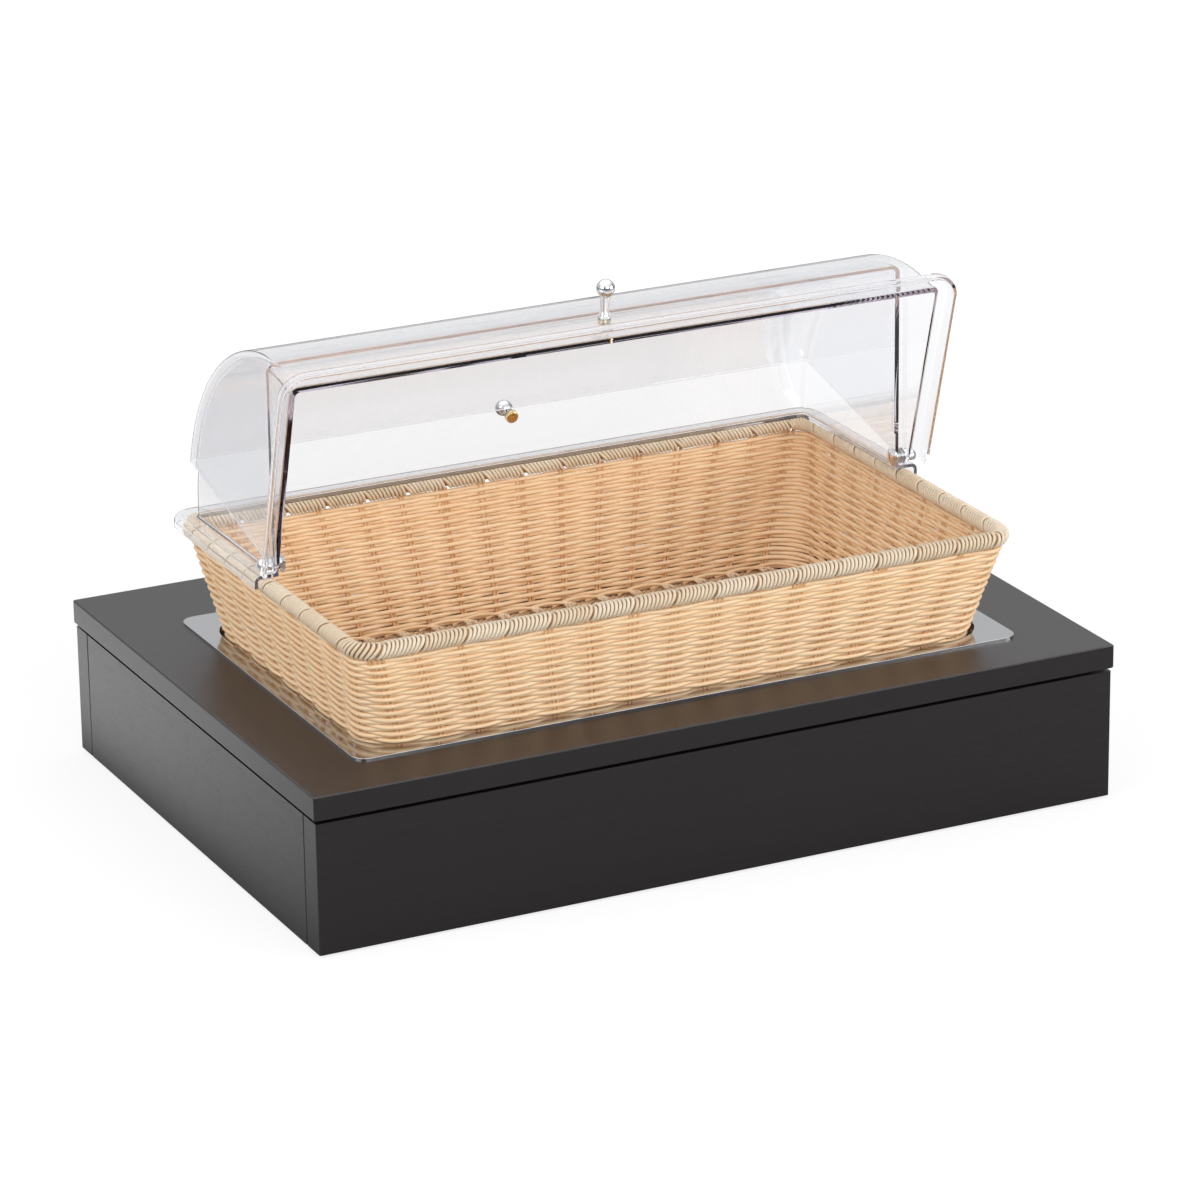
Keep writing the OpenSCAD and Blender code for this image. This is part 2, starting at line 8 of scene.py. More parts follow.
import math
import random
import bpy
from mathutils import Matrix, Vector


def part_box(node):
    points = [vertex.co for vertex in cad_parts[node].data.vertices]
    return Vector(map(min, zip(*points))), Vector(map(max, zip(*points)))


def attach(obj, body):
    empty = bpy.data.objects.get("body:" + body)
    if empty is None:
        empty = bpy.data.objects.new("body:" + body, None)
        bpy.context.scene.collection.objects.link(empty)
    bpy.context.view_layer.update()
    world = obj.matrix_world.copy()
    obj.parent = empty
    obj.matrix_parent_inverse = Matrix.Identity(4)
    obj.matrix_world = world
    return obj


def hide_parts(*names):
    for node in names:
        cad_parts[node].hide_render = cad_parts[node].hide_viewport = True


bl_info = {
    "name": "Bread Display Bin Looks",
    "version": (1, 0, 0),
    "blender": (4, 5, 0),
    "location": "View3D > Sidebar > Bread Bin",
    "description": "Weaves the basket and finishes the box, insert and cover",
    "category": "Object",
}

import bmesh
import bpy
from bpy.props import FloatProperty, FloatVectorProperty, IntProperty, PointerProperty
from mathutils import Matrix, Vector

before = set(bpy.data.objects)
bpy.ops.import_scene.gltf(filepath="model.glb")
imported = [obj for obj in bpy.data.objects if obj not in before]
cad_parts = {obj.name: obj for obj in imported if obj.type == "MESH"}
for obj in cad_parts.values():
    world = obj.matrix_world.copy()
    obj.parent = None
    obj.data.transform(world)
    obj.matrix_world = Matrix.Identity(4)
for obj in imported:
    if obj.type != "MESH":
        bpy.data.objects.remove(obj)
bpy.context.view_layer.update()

HOOP_LOW, HOOP_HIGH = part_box("basket_hoop")
RIM_LOW, RIM_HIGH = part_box("basket_rim_wrap")
_, WALL_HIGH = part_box("basket_walls")
FLOOR_LOW, FLOOR_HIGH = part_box("basket_floor")
INSERT_LOW, INSERT_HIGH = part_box("steel_insert")
BAY_Y = (RIM_LOW.y + RIM_HIGH.y) / 2
RIM_R = (RIM_HIGH.z - RIM_LOW.z) / 2
UP = Vector((0, 0, 1))


# ---------------- node writing


class Wire:
    """A node socket in an expression. Sums on it add Math nodes to its tree."""

    def __init__(self, desk, socket):
        self.desk, self.socket = desk, socket

    def math(self, operation, *terms):
        return self.desk.node(
            "ShaderNodeMath", {"operation": operation}, dict(enumerate(terms))
        )

    def __add__(self, other):
        return self.math("ADD", self, other)

    __radd__ = __add__

    def __sub__(self, other):
        return self.math("SUBTRACT", self, other)

    def __rsub__(self, other):
        return self.math("SUBTRACT", other, self)

    def __mul__(self, other):
        return self.math("MULTIPLY", self, other)

    __rmul__ = __mul__

    def __truediv__(self, other):
        return self.math("DIVIDE", self, other)

    def __rtruediv__(self, other):
        return self.math("DIVIDE", other, self)

    def __pow__(self, other):
        return self.math("POWER", self, other)

    def greatest(self, other):
        return self.math("MAXIMUM", self, other)

    def cosine(self):
        return self.math("COSINE", self)

    def ramp(self, low, high, start=0.0, end=1.0):
        """Runs smoothly from start to end while the value runs from low to high."""
        return self.desk.node(
            "ShaderNodeMapRange",
            {"interpolation_type": "SMOOTHSTEP"},
            dict(enumerate((self, low, high, start, end))),
        )

    def vector(self, operation, terms, out=0):
        """Vector maths on the socket, which goes into the first input."""
        return self.desk.node(
            "ShaderNodeVectorMath", {"operation": operation}, {0: self, **terms}, out
        )

    def scaled(self, factor):
        return self.vector("SCALE", {"Scale": factor})

    def stretched(self, sizes):
        return self.vector("MULTIPLY", {1: sizes})

    def moved(self, other):
        return self.vector("ADD", {1: other})

    def distance(self):
        return self.vector("LENGTH", {}, out="Value")

    def other(self, name):
        """Another output of the node that this socket belongs to."""
        return Wire(self.desk, self.socket.node.outputs[name])


class Desk:
    """A node tree with one way to put a node into it."""

    def __init__(self, tree):
        self.tree = tree

    def node(self, kind, settings=None, sockets=None, out=0):
        """Adds a node: its settings first, then its sockets' values and links."""
        made = self.tree.nodes.new(kind)
        for name, value in (settings or {}).items():
            setattr(made, name, value)
        for key, value in (sockets or {}).items():
            socket = made.inputs[key]
            if isinstance(value, Wire):
                self.tree.links.new(value.socket, socket)
            else:
                socket.default_value = value
        return Wire(self, made.outputs[out]) if len(made.outputs) else made

    def blend(self, factor, first, second):
        """Mixes two colours."""
        return self.node(
            "ShaderNodeMix",
            {"data_type": "RGBA"},
            {0: factor, 6: opaque(first), 7: opaque(second)},
            out=2,
        )

    def either(self, factor, first, second):
        """Mixes two shaders."""
        return self.node("ShaderNodeMixShader", None, {0: factor, 1: first, 2: second})

    def rays(self, kind, *others):
        """1 for a ray of any of these kinds, 0 for the rest."""
        seen = path = self.node("ShaderNodeLightPath", out=kind)
        for other in others:
            seen = seen.greatest(path.other(other))
        return seen

    def noise(self, vector, scale, detail=2.0, roughness=0.5):
        settings = {"Scale": scale, "Detail": detail, "Roughness": roughness}
        return self.node("ShaderNodeTexNoise", None, {"Vector": vector, **settings})


def opaque(colour):
    """A colour with its fourth number, or a wire as it is."""
    return colour if isinstance(colour, Wire) else (*tuple(colour)[:3], 1.0)


# ---------------- finishes


class Finish(Desk):
    """A new material's tree, and the place of a point on the resting part."""

    def __init__(self, name):
        self.material = bpy.data.materials.new(name)
        self.material.use_nodes = True
        super().__init__(self.material.node_tree)
        self.tree.nodes.clear()
        self.place = self.node("ShaderNodeTexCoord", out="Object")

    def bump(self, height, depth, strength=1.0):
        sockets = {"Strength": strength, "Distance": depth, "Height": height}
        return self.node("ShaderNodeBump", None, sockets)

    def principled(self, **values):
        """A Principled shader. A word such as Base_Color stands for its socket."""
        sockets = {}
        for name, value in values.items():
            name = name.replace("_", " ")
            sockets[name] = opaque(value) if name.endswith("Color") else value
        return self.node("ShaderNodeBsdfPrincipled", None, sockets)

    def lay(self, surface, **volume):
        """Ends the tree and gives the material."""
        self.node("ShaderNodeOutputMaterial", None, {"Surface": surface, **volume})
        return self.material

    def coat(self, **values):
        """Ends the tree with a Principled shader and gives the material."""
        return self.lay(self.principled(**values))


def make_dark_wood(name, along, looks):
    """Satin black-brown stained wood, its fine open grain running along an axis."""
    desk = Finish(name)

    def fibres(across, lengthways):
        """The place, squeezed so that a pattern on it draws out along the grain."""
        return desk.place.stretched(
            [lengthways if letter == along else across for letter in "XYZ"]
        )

    figure = desk.noise(fibres(420.0, 11.0), 1.0, 4.0, 0.6)
    drift = desk.noise(desk.place, 6.0, 2.0)
    pores = desk.noise(fibres(1500.0, 70.0), 1.0, 1.0).ramp(0.62, 0.72)
    shade = desk.blend(
        figure * 0.7 + drift * 0.3, looks.wood_deep, looks.wood_light
    )
    shade = desk.blend(pores * 0.5, shade, [0.4 * c for c in looks.wood_deep])
    return desk.coat(
        Base_Color=shade,
        Roughness=looks.wood_roughness + (figure - 0.5) * 0.06 + pores * 0.08,
        Specular_IOR_Level=0.58,
        Normal=desk.bump(figure * 0.35 - pores, 0.00003),
    )


def make_brushed_steel(name, looks):
    """Stainless sheet with a fine cross-brushed satin finish."""
    desk = Finish(name)
    brush = desk.noise(desk.place.stretched((40.0, 2600.0, 2600.0)), 1.0, 3.0, 0.6)
    cloud = desk.noise(desk.place, 14.0, 3.0)
    streaks = brush * 0.5 + cloud * 0.5
    return desk.coat(
        Base_Color=desk.blend(streaks, looks.steel_deep, looks.steel_light),
        Metallic=1.0,
        Roughness=0.05 + brush * 0.08 + cloud * 0.04,
        Normal=desk.bump(brush, 0.00001, 0.5),
    )


def make_bright_metal(name, colour, roughness):
    """Plated or polished metal with faint smudges from handling."""
    desk = Finish(name)
    smudge = desk.noise(desk.place, 160.0, 4.0, 0.6)
    turned = desk.noise(desk.place, 2200.0, 1.0)
    return desk.coat(
        Base_Color=desk.blend(smudge * 0.35, colour, [0.82 * c for c in colour]),
        Metallic=1.0,
        Roughness=roughness + smudge * 0.08,
        Normal=desk.bump(turned, 0.000006, 0.4),
    )


def make_plain(name, light, deep, roughness, grain):
    """A dull material, such as rubber or raw wood, speckled at a grain size."""
    desk = Finish(name)
    speck = desk.noise(desk.place, 1.0 / grain, 3.0, 0.6)
    return desk.coat(
        Base_Color=desk.blend(speck, deep, light),
        Roughness=roughness + (speck - 0.5) * 0.15,
        Normal=desk.bump(speck, grain * 0.05, 0.5),
    )


def make_clear_plastic(name, tint, murk, murk_density, frost=0.0):
    """Clear moulded plastic: bends and mirrors light, and lets lamps through."""
    desk = Finish(name)
    ripple = desk.noise(desk.place, 9.0, 1.0)
    haze = desk.noise(desk.place, 55.0, 3.0)
    glass = desk.principled(
        Base_Color=tint,
        Roughness=frost + haze * 0.02,
        IOR=1.49,
        Transmission_Weight=1.0,
        Normal=desk.bump(ripple, 0.0006, 0.35),
    )
    let_by = opaque([channel**0.5 for channel in tint])
    passed = desk.node("ShaderNodeBsdfTransparent", None, {"Color": let_by})
    surface = desk.either(desk.rays("Is Shadow Ray"), glass, passed)
    murky = {"Color": opaque(murk), "Density": murk_density}
    volume = desk.node("ShaderNodeVolumeAbsorption", None, murky)
    return desk.lay(surface, Volume=volume)


def make_cane(name, light, deep, roughness):
    """Woven strand: smooth, softly glossy, each strand and stretch its own tone."""
    desk = Finish(name)
    tone = desk.node("ShaderNodeAttribute", {"attribute_name": "tone"}, out="Fac")
    patch = desk.noise(desk.place, 48.0, 3.0, 0.6)
    fibre = desk.noise(desk.place.stretched((1.0, 1.0, 3.0)), 900.0, 2.0)
    shade = desk.blend(
        (tone * 0.45 + patch * 0.75 + fibre * 0.25 - 0.22).ramp(0.0, 1.0), deep, light
    )
    return desk.coat(
        Base_Color=shade,
        Roughness=roughness + patch * 0.1,
        Specular_IOR_Level=0.5,
        Normal=desk.bump(fibre, 0.00006, 0.5),
    )


def dress(nodes, material):
    """Gives CAD nodes a finish without touching their meshes."""
    for node in nodes:
        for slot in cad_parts[node].material_slots:
            slot.material = material


# ---------------- basket geometry


class RoundLoop:
    """A round-cornered rectangle, walked from the middle of its front edge."""

    def __init__(self, half_x, half_y, corner):
        self.half_x, self.half_y, self.corner = half_x, half_y, corner
        self.flat_x, self.flat_y = half_x - corner, half_y - corner
        bend = math.pi / 2 * corner
        side, end = 2 * self.flat_y, 2 * self.flat_x
        self.runs = [end / 2, bend, side, bend, end, bend, side, bend, end / 2]
        self.length = sum(self.runs)

    def locate(self, run):
        """The stretch at a distance from the start, and the share of it passed."""
        run %= self.length
        for stretch, length in enumerate(self.runs):
            if run <= length:
                return stretch, run / length
            run -= length
        return len(self.runs) - 1, 1.0

    def at(self, stretch, share):
        """A point on the loop and the direction outwards there."""
        fx, fy, hx, hy = self.flat_x, self.flat_y, self.half_x, self.half_y
        if stretch % 2:
            corners = ((fx, -fy), (fx, fy), (-fx, fy), (-fx, -fy))
            turn = math.pi / 2 * (stretch // 2 - 1 + share)
            out = Vector((math.cos(turn), math.sin(turn), 0))
            return Vector((*corners[stretch // 2], 0)) + out * self.corner, out
        start, end, out = (
            ((0, -hy), (fx, -hy), (0, -1)),
            ((hx, -fy), (hx, fy), (1, 0)),
            ((fx, hy), (-fx, hy), (0, 1)),
            ((-hx, fy), (-hx, -fy), (-1, 0)),
            ((-fx, -hy), (0, -hy), (0, -1)),
        )[stretch // 2]
        point = Vector((*start, 0)).lerp(Vector((*end, 0)), share)
        return point, Vector((*out, 0))

    def walk(self, run):
        """A point on the loop and the direction outwards, at a distance."""
        return self.at(*self.locate(run))


def outline(low, high, corner, inset):
    """The round outline of a box seen from above, drawn in."""
    return RoundLoop(high.x - inset, (high.y - low.y) / 2 - inset, corner - inset)


class BasketWall:
    """The leaning wall's middle surface, ruled from its foot to the rim."""

    def __init__(self, basket):
        half_wall = basket.wall_thickness / 2
        self.foot_z = HOOP_HIGH.z
        self.head_z = WALL_HIGH.z
        self.foot = outline(HOOP_LOW, HOOP_HIGH, basket.foot_corner, half_wall)
        self.head = RoundLoop(
            RIM_HIGH.x - RIM_R, (RIM_HIGH.y - RIM_LOW.y) / 2 - RIM_R, basket.rim_corner
        )
        self.gauge = self.between(0.5)

    def between(self, up, proud=0.0):
        """The wall's outline part of the way up, set outwards."""
        foot, head = self.foot, self.head
        return RoundLoop(
            foot.half_x + (head.half_x - foot.half_x) * up + proud,
            foot.half_y + (head.half_y - foot.half_y) * up + proud,
            foot.corner + (head.corner - foot.corner) * up + proud,
        )

    def at(self, run, height):
        """Point, outward direction and direction along, run being a gauge length."""
        stretch, share = self.gauge.locate(run)
        low, out = self.foot.at(stretch, share)
        high, _ = self.head.at(stretch, share)
        low.z, high.z = self.foot_z, self.head_z
        along = UP.cross(out)
        outward = along.cross(high - low).normalized()
        return low.lerp(high, height) + Vector((0, BAY_Y, 0)), outward, along


def geometry_desk(name, inputs):
    """A Geometry Nodes tree with named inputs: its desk, and wires for each."""
    tree = bpy.data.node_groups.new(name, "GeometryNodeTree")
    face = tree.interface
    for way in ("INPUT", "OUTPUT"):
        face.new_socket("Geometry", in_out=way, socket_type="NodeSocketGeometry")
    for label, kind, value in inputs:
        socket = face.new_socket(label, in_out="INPUT", socket_type="NodeSocket" + kind)
        socket.default_value = value
    desk = Desk(tree)
    entry = desk.node("NodeGroupInput")
    wires = {label: entry.other(label) for label, _, _ in inputs}
    wires["Geometry"] = entry.other("Geometry")
    return desk, wires


def fact(desk, label, kind="FLOAT"):
    """A number or direction that the guide points carry."""
    wire = desk.node(
        "GeometryNodeInputNamedAttribute", {"data_type": kind}, {"Name": label}
    )
    node = wire.socket.node
    return Wire(desk, next(s for s in node.outputs if s.enabled))


def close_tree(desk, geometry, material):
    """Ends a tree with smooth shading, real geometry and its material."""
    smooth = desk.node("GeometryNodeSetShadeSmooth", None, {"Geometry": geometry})
    real = desk.node("GeometryNodeRealizeInstances", None, {"Geometry": smooth})
    done = desk.node(
        "GeometryNodeSetMaterial", None, {"Geometry": real, "Material": material}
    )
    desk.node("NodeGroupOutput", None, {"Geometry": done})
    return desk.tree


def sweep(desk, curve, given):
    """A solid strand along a curve."""
    profile = desk.node(
        "GeometryNodeCurvePrimitiveCircle",
        None,
        {"Resolution": given["Sides"], "Radius": given["Strand Diameter"] * 0.5},
    )
    return desk.node(
        "GeometryNodeCurveToMesh",
        None,
        {"Curve": curve, "Profile Curve": profile, "Fill Caps": True},
    )


FULLNESS = 1.35  # Above 1, a weaver's waves are fuller than a cosine's
DEPTH_SPREAD = 0.16  # How much the weavers differ in depth
WAVER_SCALE, LANE_SPREAD = 38.0, 40.0  # Noise along a weaver, and between weavers


def weaving_tree(name, material):
    """Sweeps a strand along each lane of points, in and out at every station."""
    desk, given = geometry_desk(
        name,
        [
            ("Strand Diameter", "Float", 0.0026),
            ("Weave Depth", "Float", 0.0),
            ("Waver", "Float", 0.0),
            ("Sides", "Int", 7),
            ("Closed", "Bool", True),
            ("Seed", "Int", 3),
        ],
    )
    lane = fact(desk, "lane", "INT")
    station = fact(desk, "station")
    outward = fact(desk, "outward", "FLOAT_VECTOR")
    place = desk.node("GeometryNodeInputPosition")
    points = desk.node("GeometryNodeMeshToPoints", None, {"Mesh": given["Geometry"]})
    chance = desk.node(
        "FunctionNodeRandomValue",
        {"data_type": "FLOAT"},
        {"ID": lane, "Seed": given["Seed"]},
        out=1,
    )
    wave = ((station + lane) * math.pi).cosine()
    full = wave * FULLNESS / (wave * wave * (FULLNESS**2 - 1) + 1) ** 0.5
    uneven = 1 - DEPTH_SPREAD / 2 + chance * DEPTH_SPREAD
    push = outward.scaled(full * given["Weave Depth"] * uneven)
    drift = desk.node(
        "ShaderNodeTexNoise",
        {"noise_dimensions": "4D"},
        {0: place, "W": chance * LANE_SPREAD, "Scale": WAVER_SCALE, "Detail": 1.0},
        out=1,
    )
    waver = drift.moved((-0.5, -0.5, -0.5)).scaled(given["Waver"])
    woven = desk.node(
        "GeometryNodeSetPosition",
        None,
        {"Geometry": points, "Offset": push.moved(waver)},
    )
    toned = desk.node(
        "GeometryNodeStoreNamedAttribute",
        {"data_type": "FLOAT", "domain": "POINT"},
        {"Geometry": woven, "Name": "tone", "Value": chance},
    )
    curves = desk.node(
        "GeometryNodePointsToCurves", None, {"Points": toned, "Curve Group ID": lane}
    )
    rounds = desk.node(
        "GeometryNodeSetSplineCyclic",
        None,
        {"Geometry": curves, "Cyclic": given["Closed"]},
    )
    return close_tree(desk, sweep(desk, rounds, given), material)


def sticks_tree(name, material):
    """Lays one straight strand along the axis of every guide point."""
    desk, given = geometry_desk(
        name, [("Strand Diameter", "Float", 0.0022), ("Sides", "Int", 6)]
    )
    axis = fact(desk, "axis", "FLOAT_VECTOR")
    strand = sweep(desk, desk.node("GeometryNodeCurvePrimitiveLine"), given)
    facing = desk.node(
        "FunctionNodeAlignRotationToVector", {"axis": "Z"}, {"Vector": axis}
    )
    size = desk.node("ShaderNodeCombineXYZ", None, {0: 1.0, 1: 1.0, 2: axis.distance()})
    points = desk.node("GeometryNodeMeshToPoints", None, {"Mesh": given["Geometry"]})
    copies = desk.node(
        "GeometryNodeInstanceOnPoints",
        None,
        {"Points": points, "Instance": strand, "Rotation": facing, "Scale": size},
    )
    return close_tree(desk, copies, material)


def new_object(name, data):
    made = bpy.data.objects.new(name, data)
    bpy.context.scene.collection.objects.link(made)
    return made


def hand_over(piece, body, slot, *nodes):
    """Parents the piece to its body and hides the CAD nodes it stands for. The slot,
    its finish, is not used.
    """
    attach(piece, body)
    if nodes:
        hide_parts(*nodes)


class Course:
    """Points that strands follow, and the numbers that each point carries."""

    def __init__(self):
        self.points, self.facts = [], {}

    def add(self, point, **facts):
        self.points.append(point)
        for label, value in facts.items():
            self.facts.setdefault(label, []).append(value)

    def guide(self, name):
        """An object of loose points with its numbers, for a tree to run on."""
        mesh = bpy.data.meshes.new(name)
        mesh.from_pydata([tuple(point) for point in self.points], [], [])
        for label, values in self.facts.items():
            kind, field, flat = "FLOAT", "value", values
            if isinstance(values[0], Vector):
                kind, field = "FLOAT_VECTOR", "vector"
                flat = [part for value in values for part in value]
            elif isinstance(values[0], int):
                kind = "INT"
            attribute = mesh.attributes.new(label, kind, "POINT")
            attribute.data.foreach_set(field, flat)
        return new_object(name, mesh)

    def lay(self, name, tree, *nodes, slot="basket_cane", **sizes):
        """Runs a tree on the points and hands over a plain piece of the basket."""
        guide = self.guide(name + " guide")
        modifier = guide.modifiers.new("strands", "NODES")
        modifier.node_group = tree
        for item in tree.interface.items_tree:
            key = item.name.replace(" ", "_")
            if item.in_out == "INPUT" and key in sizes:
                modifier[item.identifier] = sizes[key]
        graph = bpy.context.evaluated_depsgraph_get()
        mesh = bpy.data.meshes.new_from_object(
            guide.evaluated_get(graph), preserve_all_data_layers=True, depsgraph=graph
        )
        if not mesh.polygons:
            raise RuntimeError(f"the tree for {name} made no faces")
        rough = guide.data
        bpy.data.objects.remove(guide)
        bpy.data.meshes.remove(rough)
        mesh.name = name
        hand_over(new_object(name, mesh), "basket", slot, *nodes)


# ---------------- settings


def length(name, text, default):
    return FloatProperty(
        name=name, description=text, default=default, unit="LENGTH", precision=4
    )


def colour(name, text, default):
    return FloatVectorProperty(
        name=name, description=text, default=default, subtype="COLOR", min=0.0, max=1.0
    )


def whole(name, text, default, low=0):
    return IntProperty(name=name, description=text, default=default, min=low)


def share(name, text, default, low=0.0, high=1.0):
    return FloatProperty(
        name=name, description=text, default=default, min=low, max=high
    )


class BreadBinBasket(bpy.types.PropertyGroup):
    """Sizes of the woven basket."""

    wall_thickness: length("Wall", "Thickness of the CAD wall", 0.005)
    foot_corner: length("Foot corner", "Corner radius at the walls' foot", 0.038)
    rim_corner: length("Rim corner", "Corner radius of the rim's middle", 0.016)
    groups: whole("Stake groups", "Stake groups round the wall", 50, 8)
    steps: whole("Steps", "Points from one group to the next", 8, 4)
    first: length("First group", "From the middle of the front", 0.0173)
    rows: whole("Rows", "Weavers up the wall", 34, 4)
    strand: length("Strand", "Diameter of a weaver", 0.0035)
    depth: length("Weave depth", "How far a weaver swings in and out", 0.0016)
    waver: length("Waver", "How far a weaver strays from its row", 0.0011)
    stake: length("Stake", "Diameter of a stake", 0.0026)
    stake_gap: length("Stake pitch", "Between the stakes of one group", 0.0029)
    wrap: length("Wrap strand", "Diameter of the strand round the rim", 0.0025)
    wrap_pitch: length("Wrap pitch", "From turn to turn", 0.0031)
    plate_gauge: length("Plate", "Thickness of the insert's plate", 0.0005)
    plate_gap: length("Plate gap", "From the weave to the plate's mouth", 0.0020)
    plate_corner: length("Plate corner", "Outer corner radius of the plate", 0.011)
    seed: whole("Seed", "Draws the small irregularities", 11)


class BreadBinLooks(bpy.types.PropertyGroup):
    """Colours and finishes."""

    cane_light: colour("Cane, light", "Palest weavers", (0.90, 0.68, 0.44))
    cane_deep: colour("Cane, deep", "Darkest weavers", (0.83, 0.56, 0.32))
    # The stakes' colours are darker and redder than the weavers': painted shade where
    # they stand behind the weavers.
    stake_painted_shade_light: colour("Stake, light", "Palest stakes", (0.76, 0.49, 0.27))
    stake_painted_shade_deep: colour("Stake, deep", "Darkest stakes", (0.62, 0.35, 0.16))
    rim_light: colour("Rim, light", "Palest wrap", (0.78, 0.67, 0.525))
    rim_deep: colour("Rim, deep", "Darkest wrap", (0.68, 0.535, 0.365))
    wood_light: colour("Wood, light", "Grain of dark wood", (0.0150, 0.0112, 0.0122))
    wood_deep: colour("Wood, deep", "Ground of dark wood", (0.0085, 0.0060, 0.0068))
    wood_roughness: share("Wood roughness", "Satin of the dark wood", 0.3)
    steel_light: colour("Steel, light", "Palest streaks", (0.61, 0.62, 0.635))
    steel_deep: colour("Steel, deep", "Darkest streaks", (0.50, 0.51, 0.53))
    clear_tint: colour("Clear tint", "What the cover lets by", (0.925, 0.932, 0.945))
    clear_murk: colour("Clear murk", "What thick plastic turns to", (0.50, 0.30, 0.56))
    murk_density: FloatProperty(
        name="Murk", description="How fast thick plastic darkens", default=2.5, min=0.0
    )


class BreadBinStage(bpy.types.PropertyGroup):
    """Floor, lamps and camera."""

    fill: share("Fill", "Light from the surroundings", 0.62, 0.0, 2.0)
    mirror: share("Mirrored", "Surroundings as shiny things see them", 1.0, 0.0, 2.0)
    lens: FloatProperty(
        name="Lens", description="Focal length", default=166.66, unit="CAMERA"
    )


SETTINGS = {
    "bread_bin_basket": BreadBinBasket,
    "bread_bin_looks": BreadBinLooks,
    "bread_bin_stage": BreadBinStage,
}


def bin_settings(context):
    return context.scene.bread_bin_basket, context.scene.bread_bin_looks


# ---------------- operators


FIRST_ROW = 0.55  # Height of the lowest row, in rows
SPARE_ROWS = 0.2  # How many rows more the wall is high
ROW_CROWDING = 0.95  # Below 1, the rows lie closer together towards the rim
RIM_FLATTENING = 0.3  # How much less the weavers swing at the rim


class BREADBIN_OT_weave_walls(bpy.types.Operator):
    """Weave the basket's leaning walls, row by row"""

    bl_idname = "breadbin.weave_walls"
    bl_label = "Weave Walls"

    def execute(self, context):
        basket, looks = bin_settings(context)
        wall = BasketWall(basket)
        count = basket.groups * basket.steps
        pitch = wall.gauge.length / count
        course = Course()
        for row in range(basket.rows):
            height = ((row + FIRST_ROW) / (basket.rows + SPARE_ROWS)) ** ROW_CROWDING
            swing = 1 - RIM_FLATTENING * height**2
            for step in range(count):
                point, out, _ = wall.at(basket.first + step * pitch, height)
                station = step / basket.steps
                course.add(point, outward=out * swing, station=station, lane=row)
        finish = make_cane("cane", looks.cane_light, looks.cane_deep, 0.23)
        course.lay(
            "basket_weave",
            weaving_tree("woven rows", finish),
            "basket_walls",
            Strand_Diameter=basket.strand,
            Weave_Depth=basket.depth,
            Waver=basket.waver,
            Sides=7,
            Seed=basket.seed,
        )
        return {"FINISHED"}


PAIR, EXTRAS = (-0.5, 0.5), (1.5, -1.5)  # A group's stakes, in stake pitches
HOW_MANY_EXTRAS = (0, 0, 1, 1, 2)  # Drawn from for each group
LONG_STAKE, SHORT_STAKE = (0.0, 1.015), (0.80, 1.01)  # From and to, in wall heights
FOOT_SPREAD = 0.9  # How close a group stands at the foot
STAKE_SPREAD = 0.15  # What its spread gains up to the rim
STAKE_LEAN = 0.0008


class BREADBIN_OT_set_stakes(bpy.types.Operator):
    """Set the upright stakes that the weavers go round"""

    bl_idname = "breadbin.set_stakes"
    bl_label = "Set Stakes"

    def execute(self, context):
        basket, looks = bin_settings(context)
        wall = BasketWall(basket)
        chance = random.Random(basket.seed)
        course = Course()
        for group in range(basket.groups):
            run = basket.first + group * wall.gauge.length / basket.groups
            for place in PAIR + EXTRAS[: chance.choice(HOW_MANY_EXTRAS)]:
                low, high = LONG_STAKE if place in PAIR else SHORT_STAKE
                start, _, along = wall.at(run, low)
                end, _, _ = wall.at(run, high)
                side = along * basket.stake_gap * place
                lean = along * chance.uniform(-STAKE_LEAN, STAKE_LEAN)
                course.add(
                    start + side * FOOT_SPREAD,
                    axis=end - start + side * STAKE_SPREAD + lean,
                    tone=chance.random(),
                )
        # Painted shade: the darker stake colours stand in for the shade behind the
        # weavers.
        finish = make_cane("stake cane", looks.stake_painted_shade_light, looks.stake_painted_shade_deep, 0.42)
        course.lay(
            "basket_stakes",
            sticks_tree("upright stakes", finish),
            Strand_Diameter=basket.stake,
            Sides=8,
        )
        return {"FINISHED"}


RIM_STEPS = 14  # Points in one turn of the wrap
LEAST_GAP = 0.0007  # Kept free between two groups of turns
TUCK_DEPTH, TUCK_TURNS = 0.0016, 0.3  # How a group's ends dip, and over how long
GAP_SHARES = (0.6, 1.4)  # Least and most of what is left over between groups
LEANS = (0.42, 0.54)  # Least and most lean of a group's turns along the rim
SIDE_LEAN = 0.14  # What they lean less at the front's right end, more at its left
LAST_LEAN, LEAN_POWER = 0.26, 5  # What the last turn leans more, and how suddenly
# The rod's brown is its own, but darkened further to paint the shade in the gaps
# between the wrap's turns.
CORE_PAINTED_SHADE_LIGHT, CORE_PAINTED_SHADE_DEEP = (0.42, 0.25, 0.12), (0.28, 0.15, 0.07)
CORE_BITE = 0.0004  # How far the wrap sinks into its rod


